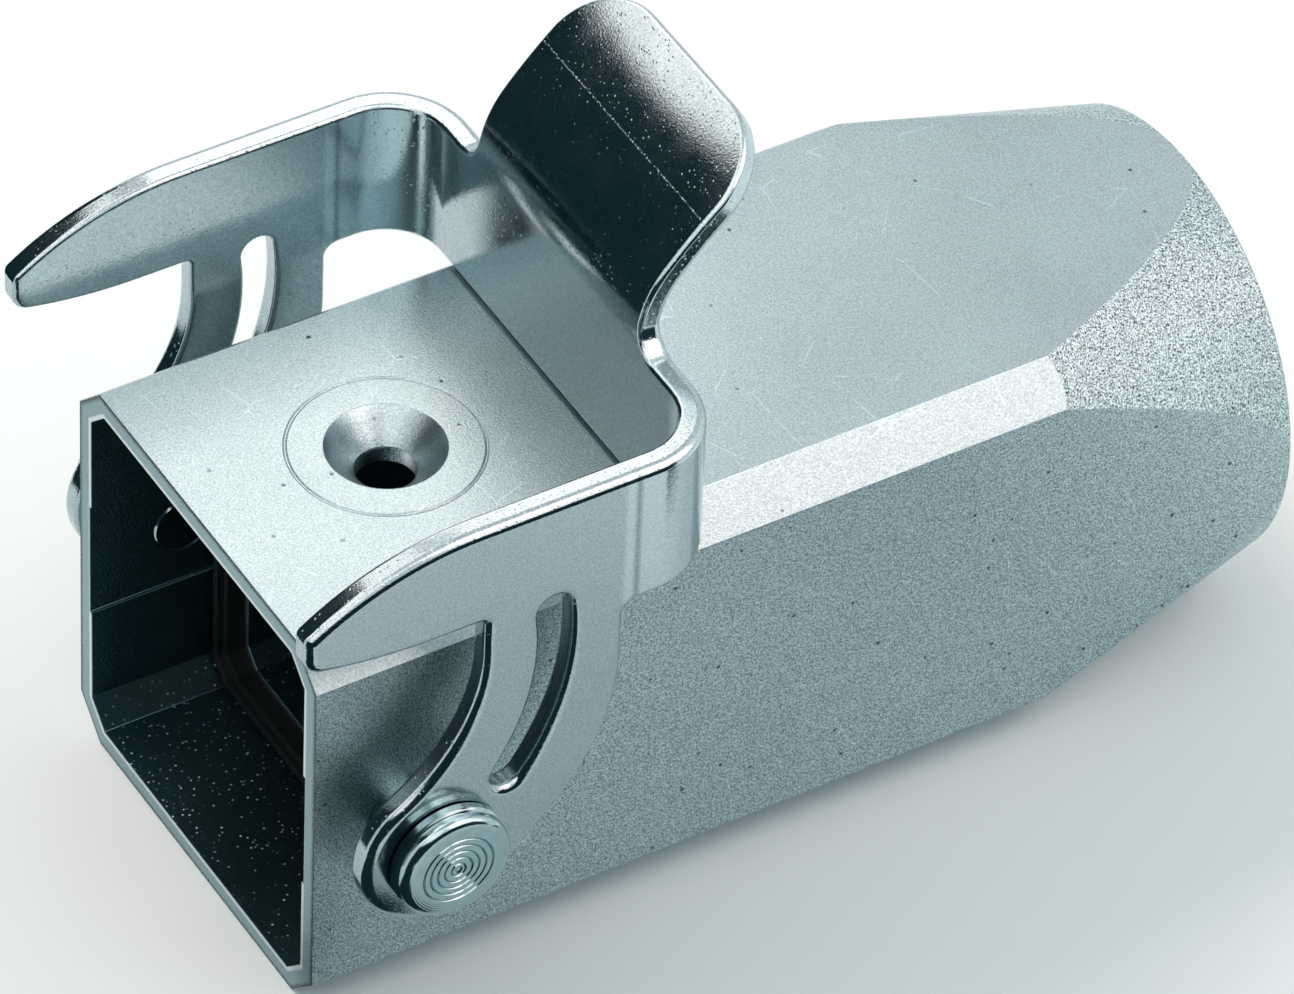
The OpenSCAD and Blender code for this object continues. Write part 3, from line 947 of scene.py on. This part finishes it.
    def arm(self) -> Profile:
        """Draws one arm's outline as x and z.

        Returns:
            Points from the corner bend's upper edge round the hook and the pivot end to its lower edge.
        """
        pivot = (self.pivot_x, 0.0)
        front_x = self.pivot_x + self.front
        rear_x = self.pivot_x + self.rear
        hook_z = self.band_low + self.hook_rise
        reach = self.front_hollow_r - self.front
        front_hollow = (front_x - self.front_hollow_r,
                        math.sqrt((self.end_r + self.front_hollow_r) ** 2 - reach ** 2))
        turn = math.radians(self.flank_turn)
        lag = self.rear - self.rear_round_r
        rear_round = (rear_x - self.rear_round_r,
                      (self.end_r - self.rear_round_r - lag * math.cos(turn)) / math.sin(turn))
        back = (self.pivot_x + self.hook_back_x, self.band_top - self.hook_back_r)
        lift = (self.pivot_x - self.hook_lift_x, hook_z + self.hook_lift_r)
        upper = self.tip_centre(back, self.hook_back_r, self.tip_upper_r, 1)
        lower = self.tip_centre(lift, self.hook_lift_r, self.tip_lower_r, -1)
        corner = (front_x - self.hook_corner_r, hook_z - self.hook_corner_r)
        band_corner = (rear_x + self.band_corner_r, self.band_low - self.band_corner_r)
        return [
            *arc(back, self.hook_back_r, 90, bearing(back, upper)),
            *arc(upper, self.tip_upper_r, bearing(back, upper), 180),
            *arc(lower, self.tip_lower_r, 180, 360 + bearing(lift, lower)),
            *arc(lift, self.hook_lift_r, 360 + bearing(lift, lower), 270),
            *arc(corner, self.hook_corner_r, 90, 0),
            *arc(front_hollow, self.front_hollow_r, 0, bearing(front_hollow, pivot)),
            *arc(pivot, self.end_r, bearing(pivot, front_hollow), 360 + self.flank_turn, self.end_steps),
            *arc(rear_round, self.rear_round_r, self.flank_turn, 0),
            *arc(band_corner, self.band_corner_r, 180, 90),
        ]

    def slot(self) -> Profile:
        """Draws the curved slot's outline as x and z.

        Returns:
            Points once round the slot.
        """
        centre = (self.pivot_x + self.slot_x - self.slot_r, self.band_low - self.slot_drop)
        half = self.slot_w / 2
        return [
            *arc(centre, self.slot_r + half, -self.slot_down, self.slot_up),
            *arc(on_circle(centre, self.slot_r, self.slot_up), half, self.slot_up, self.slot_up + 180),
            *arc(centre, self.slot_r - half, self.slot_up, -self.slot_down),
            *arc(on_circle(centre, self.slot_r, -self.slot_down), half, 180 - self.slot_down,
                 360 - self.slot_down),
        ]

    def tab(self) -> Profile:
        """Draws one side of the tab on the blank.

        Returns:
            Points from the end's corner down to the band's upper edge.
        """
        half = self.tab_w / 2
        corner = (half - self.tab_corner_r, self.tab_top - self.tab_corner_r)
        root = (half + self.tab_root_r, self.band_top + self.tab_root_r)
        return [*arc(corner, self.tab_corner_r, 90, 0), *arc(root, self.tab_root_r, 180, 270)]

    def blank(self) -> list[Profile]:
        """Lays out the flat blank.

        Returns:
            The outline, and then the holes, each with the metal on its left.
        """
        def unroll(points: Profile) -> Profile:
            """Lays points of an arm flat on the blank."""
            return [(self.arm_start + self.bend_x - x, z) for x, z in points]

        right = self.tab() + unroll(self.arm())
        left = [(-u, v) for u, v in right]
        pivot_hole = arc((self.pivot_x, 0.0), self.hole_r, 0, 360, self.hole_steps)
        holes = [unroll(self.slot()), unroll(pivot_hole)]
        holes += [[(-u, v) for u, v in hole] for hole in holes]
        return [leftward(left[::-1] + right, 1)] + [leftward(hole, -1) for hole in holes]

    def fold(self, flat: Vector, normal: Vector) -> tuple[Vector, Vector]:
        """Bends a point of the blank to its place on the lever.

        Args:
            flat: the point round the band, up it and through the sheet, in millimetres.
            normal: the surface's direction there.

        Returns:
            The place in metres and the direction in the shared frame.
        """
        u, v, depth = flat
        side = math.copysign(1, u)
        past = abs(u) - self.wall_half
        if v > self.tab_start:
            rise = v - self.tab_start - self.tab_arc
            bent = rise < 0
            (x, z), inner = (self.tab_bend, self.tab_bend_r) if bent else (self.tab_sweep, self.tab_sweep_r)
            turn = math.radians(self.tab_lean) + rise / (inner + self.sheet / 2)
            radius = inner + self.sheet - depth
            place = Vector((x - radius * math.cos(turn), u, z + radius * math.sin(turn)))
            axes = ((0, 1, 0), (math.sin(turn), 0, math.cos(turn)), (math.cos(turn), 0, -math.sin(turn)))
        else:
            turn = min(max(past / self.middle_r, 0.0), math.pi / 2)
            radius = self.bend_r + depth
            run = max(abs(u) - self.arm_start, 0.0)
            y = min(abs(u), self.wall_half) + radius * math.sin(turn)
            place = Vector((self.bend_x + radius * math.cos(turn) - run, side * y, v))
            axes = ((-side * math.sin(turn), math.cos(turn), 0), (0, 0, 1),
                    (math.cos(turn), side * math.sin(turn), 0))
        return place * MM, Matrix(axes).transposed() @ normal

    def cuts(self) -> list[tuple[Vector, Vector]]:
        """Lists the lines at which the blank is divided so that it can bend.

        Returns:
            A point and a direction across the line for each.
        """
        shares = [i / self.bend_steps for i in range(self.bend_steps + 1)]
        around = [self.wall_half + share * (self.arm_start - self.wall_half) for share in shares]
        lines = [(Vector((side * u, 0, 0)), Vector((1, 0, 0))) for u in around for side in (-1, 1)]
        heights = [self.tab_start + share * self.tab_arc for share in shares]
        heights += [self.tab_start + self.tab_arc + share * self.sweep_arc for share in shares[1:-1]]
        return lines + [(Vector((0, v, 0)), Vector((0, 1, 0))) for v in heights]

    def stamp(self, mesh: bmesh.types.BMesh, rounded: bmesh.types.BMLayerItem) -> None:
        """Makes the flat blank with its rounded edges.

        Args:
            mesh: the mesh that gets the blank.
            rounded: the layer that keeps each point's surface direction.
        """
        quarter = [math.pi / 2 * k / self.edge_steps for k in range(self.edge_steps + 1)]
        section = [(self.edge * (1 - math.sin(turn)), self.edge * (1 - math.cos(turn)), turn)
                   for turn in quarter]
        section += [(self.roll * (1 - math.cos(turn)), self.sheet - self.roll * (1 - math.sin(turn)),
                     turn + math.pi / 2) for turn in quarter]
        rings = []
        for loop in self.blank():
            inward = inward_normals(loop)
            ring = []
            for inset, depth, turn in section:
                for (u, v), (mu, mv) in zip(loop, inward):
                    vert = mesh.verts.new((u + inset * mu, v + inset * mv, depth))
                    vert[rounded] = Vector((-mu * math.sin(turn), -mv * math.sin(turn), -math.cos(turn)))
                    ring.append(vert)
            count = len(loop)
            for face in ring_sides(len(section), count):
                mesh.faces.new([ring[k] for k in face])
            rings.append((ring[:count], ring[-count:]))
        for level, upward in ((0, False), (1, True)):
            verts = [vert for ring in rings for vert in ring[level]]
            outlines = [[vert.co.copy() for vert in ring[level]] for ring in rings]
            for triangle in tessellate_polygon(outlines):
                a, b, c = (verts[i] for i in triangle)
                faces_up = (b.co - a.co).cross(c.co - a.co).z > 0
                mesh.faces.new((a, b, c) if faces_up == upward else (a, c, b))

    def build(self) -> list[bpy.types.Object]:
        """Stamps the blank, bends it and dresses it.

        Returns:
            The lever's object, alone in a list.
        """
        mesh = bmesh.new()
        rounded = mesh.verts.layers.float_vector.new("rounded")
        self.stamp(mesh, rounded)
        for place, across in self.cuts():
            everything = mesh.verts[:] + mesh.edges[:] + mesh.faces[:]
            bmesh.ops.bisect_plane(mesh, geom=everything, dist=self.ON_LINE, plane_co=place, plane_no=across)
        normals = []
        for vert in mesh.verts:
            vert.co, direction = self.fold(vert.co, vert[rounded])
            normals.append(direction.normalized())
        data = bpy.data.meshes.new("bent_lever")
        mesh.to_mesh(data)
        mesh.free()
        data.shade_smooth()
        data.normals_split_custom_set_from_vertices(normals)
        piece = put("bent_lever", data)
        mark_v = self.tab_start + self.tab_arc + self.mark_rise
        mark = self.fold(Vector((0, mark_v, 0)), Vector((0, 0, -1)))[0]
        finish = TumbledSteel("Sheet steel, stamped and tumbled", "#A9B9BE", 0.12, mark=(mark.x, mark.z),
                              bend_sheen_x=(self.bend_x - self.sheen_lead) * MM)
        data.materials.append(finish.material())
        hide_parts("locking_lever")
        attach(piece, Body.LEVER.value)
        return [piece]


@dataclass
class PivotPin:
    """One turned shoulder rivet, with the lathe's rings on its face.

    Attributes:
        node: the solid that the pin stands for.
        seat_mm: distance of the head's underside inside its face.
        shoulder_mm: distance of the shoulder's foot inside the face.
        tenon_r_mm: radius of the riveted end.
        tenon_cut_mm: chamfer of that end.
        journal_r_mm: radius of the shoulder.
        edge_mm: round between the head's side and its face.
        foot_cut_mm: chamfer at the foot of the head's side.
        groove_mm: depth of the groove rolled round the head's side.
        groove_at: place of the groove, as a share of the head's height.
        groove_lip_mm: chamfer of the groove's lower lip.
        dimple_r_mm: radius of the dimple that the lathe leaves in the middle of the face.
        dimple_mm: depth of that dimple.
        dimple_slope_mm: width of its sloping side.
        ring_pitch_mm: spacing of the rings on the face.
        ring_count: number of those rings.
        ring_half_mm: half the width of a ring.
        ring_mm: depth of a ring.
        step_turn: turn in degrees from which the pin's edges look crisp.
        segments: number of faces round the pin.
    """

    node: str
    seat_mm: float = 1.5
    shoulder_mm: float = 5.35
    tenon_r_mm: float = 1.8
    tenon_cut_mm: float = 0.15
    journal_r_mm: float = 2.4
    edge_mm: float = 0.5
    foot_cut_mm: float = 0.08
    groove_mm: float = 0.14
    groove_at: float = 0.56
    groove_lip_mm: float = 0.05
    dimple_r_mm: float = 0.14
    dimple_mm: float = 0.06
    dimple_slope_mm: float = 0.1
    ring_pitch_mm: float = 0.42
    ring_count: int = 5
    ring_half_mm: float = 0.07
    ring_mm: float = 0.09
    step_turn: float = 24.0
    segments: int = 128

    def face(self) -> Profile:
        """Draws the face from its dimple outwards, with a ring cut at each step.

        Returns:
            Points as radius and depth below the face, in millimetres.
        """
        points = [(self.dimple_r_mm, self.dimple_mm), (self.dimple_r_mm + self.dimple_slope_mm, 0.0)]
        for i in range(1, self.ring_count + 1):
            middle = i * self.ring_pitch_mm
            points += [(middle - self.ring_half_mm, 0.0), (middle, self.ring_mm),
                       (middle + self.ring_half_mm, 0.0)]
        return points

    def profile(self, head_r: float, length: float) -> Profile:
        """Draws the pin's half section from the face to the riveted end.

        Args:
            head_r: radius of the head in millimetres.
            length: length of the whole pin in millimetres.

        Returns:
            Points as radius and depth below the face, in millimetres.
        """
        side = head_r - self.groove_mm / 2
        groove = self.groove_at * self.seat_mm
        lip = groove + self.groove_mm
        return [
            *self.face(),
            *arc((side - self.edge_mm, self.edge_mm), self.edge_mm, -90, 0, steps=6),
            (side, groove - self.groove_mm),
            (side - self.groove_mm, groove),
            (head_r - self.groove_lip_mm, lip),
            (head_r, lip + self.groove_lip_mm),
            (head_r, self.seat_mm - self.foot_cut_mm),
            (head_r - self.foot_cut_mm, self.seat_mm),
            (self.journal_r_mm, self.seat_mm),
            (self.journal_r_mm, self.shoulder_mm),
            (self.tenon_r_mm, self.shoulder_mm),
            (self.tenon_r_mm, length - self.tenon_cut_mm),
            (self.tenon_r_mm - self.tenon_cut_mm, length),
        ]

    def build(self) -> list[bpy.types.Object]:
        """Turns the pin's half section about its axis.

        Returns:
            The pin's object, alone in a list.
        """
        low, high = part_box(self.node)
        middle = (low + high) / 2
        outward = 1 if middle.y > 0 else -1
        face_y = high.y if outward > 0 else low.y
        outline = self.profile((high.x - low.x) / 2 / MM, (high.y - low.y) / MM)
        points = []
        for radius, depth in outline:
            for k in range(self.segments):
                turn = 2 * math.pi * k / self.segments
                points.append(Vector((middle.x + radius * MM * math.cos(turn), face_y - outward * depth * MM,
                                      middle.z + outward * radius * MM * math.sin(turn))))
        faces = ring_solid(len(outline), self.segments)
        piece = new_object(self.node.replace("pivot", "turned"), points, faces)
        finish = TurnedSteel("Bar steel, turned", "#A5BDC2", 0.14, axis_x=middle.x)
        piece.data.materials.append(finish.material())
        crisp(piece, self.step_turn)
        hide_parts(self.node)
        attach(piece, Body.HOOD.value)
        return [piece]


@dataclass
class MatingSeal:
    """The frame gasket on the mouth's step.

    Attributes:
        edge_mm: round that the mould gives the gasket's edges.
        edge_turn: turn in degrees from which one of those edges is rounded.
    """

    edge_mm: float = 0.1
    edge_turn: float = 30.0

    def build(self) -> list[bpy.types.Object]:
        """Dresses the gasket, and returns it alone in a list."""
        return [dress("mating_seal", RUBBER, self.edge_mm, self.edge_turn, segments=3)]


@dataclass
class Softbox:
    """A soft studio lamp.

    Attributes:
        name: the lamp's name.
        azimuth: bearing from the object in degrees, from +X towards +Y.
        elevation: height above the horizon in degrees.
        distance: distance from the object in metres.
        width: width in metres.
        height: height in metres.
        level: how much brighter than the surround it looks; the surround is 1.
        colour: the light's colour.
        use: what the lamp is for.
    """

    name: str
    azimuth: float
    elevation: float
    distance: float
    width: float
    height: float
    level: float
    colour: str = "#FFEBE1"
    use: Light = Light.CARD

    def build(self, aim: Vector) -> bpy.types.Object:
        """Hangs the lamp and turns it to the object.

        Args:
            aim: the point that the lamp faces.

        Returns:
            The lamp's object.
        """
        light = bpy.data.lights.new(self.name, "AREA")
        light.shape = "RECTANGLE"
        light.size = self.width
        light.size_y = self.height
        light.energy = self.level * math.pi * self.width * self.height
        light.color = linear(self.colour)[:3]
        lamp = put(self.name, light)
        lamp.visible_camera = False
        lamp.visible_glossy = self.use is Light.CARD
        lamp.visible_diffuse = self.use is Light.FLOOD
        lamp.matrix_world = facing_in(aim, self.azimuth, self.elevation, self.distance)
        return lamp


@dataclass
class Screen:
    """Dark felt, drawn as a faint glow, that stands in an arc round the object and only shows in reflections.

    Attributes:
        name: the screen's name.
        first: bearing in degrees at which it begins, from +X towards +Y.
        last: bearing at which it ends.
        radius: distance from the object in metres.
        height: height above the floor in metres.
        depth: how far it also reaches outwards along the floor, in metres.
        lift_mm: gap between the floor and its lower edge.
        sides: number of flat faces along it.
    """

    name: str
    first: float
    last: float
    radius: float
    height: float
    depth: float = 0.0
    lift_mm: float = 0.1
    sides: int = 24

    def build(self, aim: Vector) -> bpy.types.Object:
        """Stands the screen on the floor.

        Args:
            aim: the point that the screen stands round.

        Returns:
            The screen's object.
        """
        low = cad_box[0].z + self.lift_mm * MM
        inner = arc((aim.x, aim.y), self.radius, self.first, self.last, self.sides)
        outer = arc((aim.x, aim.y), self.radius + self.depth, self.first, self.last, self.sides)
        points = []
        for near, far in zip(inner, outer):
            points += [Vector((*near, low)), Vector((*far, low + self.height))]
        faces = [(2 * k, 2 * k + 2, 2 * k + 3, 2 * k + 1) for k in range(self.sides)]
        screen = new_object(self.name, points, faces)
        screen.data.materials.append(FELT.material())
        screen.visible_camera = False
        screen.visible_diffuse = False
        screen.visible_shadow = False
        return screen


@dataclass
class Studio:
    """The floor, the white surround, the lamps, the dark screens that give metal its contrast, and the camera.

    Attributes:
        floor_radius: radius of the floor in metres.
        floor_sides: number of straight edges round it.
        ambient: how bright the surround is as a light; 1 is paper white.
        shade: colour of that light, which fills the shadows.
        photo_azimuth: bearing of the camera from the object, in degrees from +X towards +Y.
        photo_elevation: height of the camera above the horizon, in degrees.
        photo_roll: turn of the camera about its own axis, in degrees.
        photo_distance_mm: distance of the camera from the point that it looks at.
        photo_aim_mm: the point that it looks at.
        lens_mm: focal length.
        sensor_mm: width of the sensor.
        nearest: distance in metres from which the camera sees.
        farthest: distance in metres to which it sees.
    """

    floor_radius: float = 3.0
    floor_sides: int = 96
    ambient: float = 0.7
    shade: str = "#E0F7FC"
    photo_azimuth: float = -122.341
    photo_elevation: float = 43.019
    photo_roll: float = 2.587
    photo_distance_mm: float = 576.34
    photo_aim_mm: Point = (27.212, -1.332, 3.342)
    lens_mm: float = 295.26
    sensor_mm: float = 36.0
    nearest: float = 0.01
    farthest: float = 20.0

    def floor(self) -> bpy.types.Object:
        """Lays the pale floor under the object.

        Returns:
            The floor's object.
        """
        edge = arc((0.0, 0.0), self.floor_radius, 0, 360, self.floor_sides)[:-1]
        ring = [Vector((*point, cad_box[0].z)) for point in edge]
        floor = new_object("floor", ring, [tuple(range(self.floor_sides))])
        floor.data.materials.append(PAPER.material())
        return floor

    def surround(self) -> None:
        """Makes the world white to the eye and in mirrors, and dimmer as a light."""
        world = bpy.data.worlds.new("surround")
        bpy.context.scene.world = world
        world.use_nodes = True
        world.node_tree.nodes.clear()
        add = partial(add_node, world.node_tree)
        path = add("LightPath").outputs
        mirrored = add("Math", LARGER, {0: path["Is Glossy Ray"], 1: path["Is Transmission Ray"]})
        seen = add("Math", LARGER, {0: path["Is Camera Ray"], 1: mirrored})
        level = add("MapRange", {"To Min": self.ambient, "To Max": 1.0}, {"Value": seen})
        tint = add("Mix", {**MIX, UNDER: linear(self.shade), OVER: linear("#FFFFFF")}, {SHARE: seen})
        add("OutputWorld", links={"Surface": add("Background", links={"Color": tint, "Strength": level})})

    def aim(self) -> Vector:
        """Gives the point that the camera and the lamps face, in metres."""
        return Vector(self.photo_aim_mm) * MM

    def camera(self) -> None:
        """Places the camera where the photograph was taken from."""
        data = bpy.data.cameras.new("photo_camera")
        data.sensor_fit = "HORIZONTAL"
        data.sensor_width = self.sensor_mm
        data.lens = self.lens_mm
        data.clip_start = self.nearest
        data.clip_end = self.farthest
        camera = put("photo_camera", data)
        camera.matrix_world = facing_in(self.aim(), self.photo_azimuth, self.photo_elevation,
                                        self.photo_distance_mm * MM, self.photo_roll)
        bpy.context.scene.camera = camera

    def build(self) -> list[bpy.types.Object]:
        """Sets up everything around the object.

        Returns:
            The floor and the screens.
        """
        # Each lamp's bearing, elevation, distance, width, height and level.
        lamps = [
            Softbox("key_lamp", -46.0, 42.0, 0.45, 0.42, 0.44, 1.25, "#FFDDD2"),
            Softbox("arm_lamp", -58.0, 60.0, 0.45, 0.24, 0.22, 1.4),
            Softbox("tab_lamp", 134.0, 56.0, 0.45, 0.44, 0.36, 1.0),
            Softbox("front_lamp", 79.0, 52.0, 0.086, 0.038, 0.038, 1.7),
            Softbox("camera_lamp", -136.0, 52.0, 0.5, 0.36, 0.34, 0.9),
            Softbox("floor_lamp", 105.0, 46.0, 0.6, 0.25, 0.25, 12.0, "#FFEDE5", Light.FLOOD),
            Softbox("side_lamp", -25.0, 40.0, 0.22, 0.1, 0.1, 3.5, "#FFEDE5", Light.FLOOD),
        ]
        # Each screen's first and last bearing, radius, height and depth.
        screens = [
            Screen("tab_screen", 100.0, 168.0, 0.075, 0.09),
            Screen("nose_screen", 132.0, 162.0, 0.076, 0.12),
            Screen("near_screen", -118.0, -58.0, 0.08, 0.056),
            Screen("front_screen", -172.0, -118.0, 0.08, 0.056),
            Screen("front_mat", -168.0, -127.0, 0.03, 0.0, 0.055),
            Screen("edge_mat", -69.0, -52.0, 0.0435, 0.0, 0.02),
        ]
        for lamp in lamps:
            lamp.build(self.aim())
        self.surround()
        self.camera()
        bpy.context.scene.view_settings.view_transform = "Standard"
        return [self.floor()] + [screen.build(self.aim()) for screen in screens]


def main() -> None:
    """Builds the pieces in order and reports each one."""
    logging.basicConfig(level=logging.INFO, format="%(name)s: %(message)s")
    assemblies = [
        HoodBody(),
        LockingLever(),
        PivotPin("pivot_pin_left"),
        PivotPin("pivot_pin_right"),
        MatingSeal(),
        Studio(),
    ]
    for assembly in assemblies:
        for piece in assembly.build():
            log.info("%s: %s, %d points", type(assembly).__name__, piece.name, len(piece.data.vertices))


if __name__ == "__main__":
    main()
